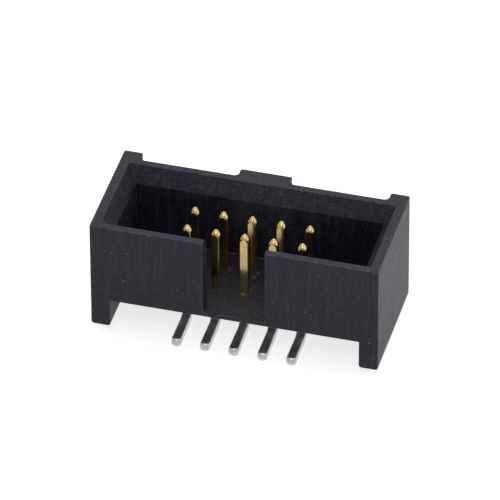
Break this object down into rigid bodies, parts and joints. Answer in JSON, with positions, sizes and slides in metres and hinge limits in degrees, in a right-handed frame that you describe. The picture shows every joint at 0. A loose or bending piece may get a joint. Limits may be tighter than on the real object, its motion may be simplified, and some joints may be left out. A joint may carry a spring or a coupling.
{
  "type": "idc box header",
  "caption": "Shrouded two-row board header for surface mounting, with a polarising notch and gold-plated square contacts.",
  "frame": {"origin": "middle of the contact grid, on the board that the solder feet stand on", "axes": "+X along the contact rows, +Y from the notched front wall to the rear wall with the pads, +Z off the board towards the mating plug"},
  "size_m": [0.0126, 0.0057, 0.0057],
  "materials": {
    "housing": "satin black glass-filled moulding with fine grain",
    "contact": "gold-plated mating blades, matte tin on the solder feet"
  },
  "bodies": {
    "root": {"housing": "housing", "pin_front_1": "contact", "pin_front_2": "contact", "pin_front_3": "contact", "pin_front_4": "contact", "pin_front_5": "contact", "pin_rear_1": "contact", "pin_rear_2": "contact", "pin_rear_3": "contact", "pin_rear_4": "contact", "pin_rear_5": "contact"}
  },
  "joints": []
}
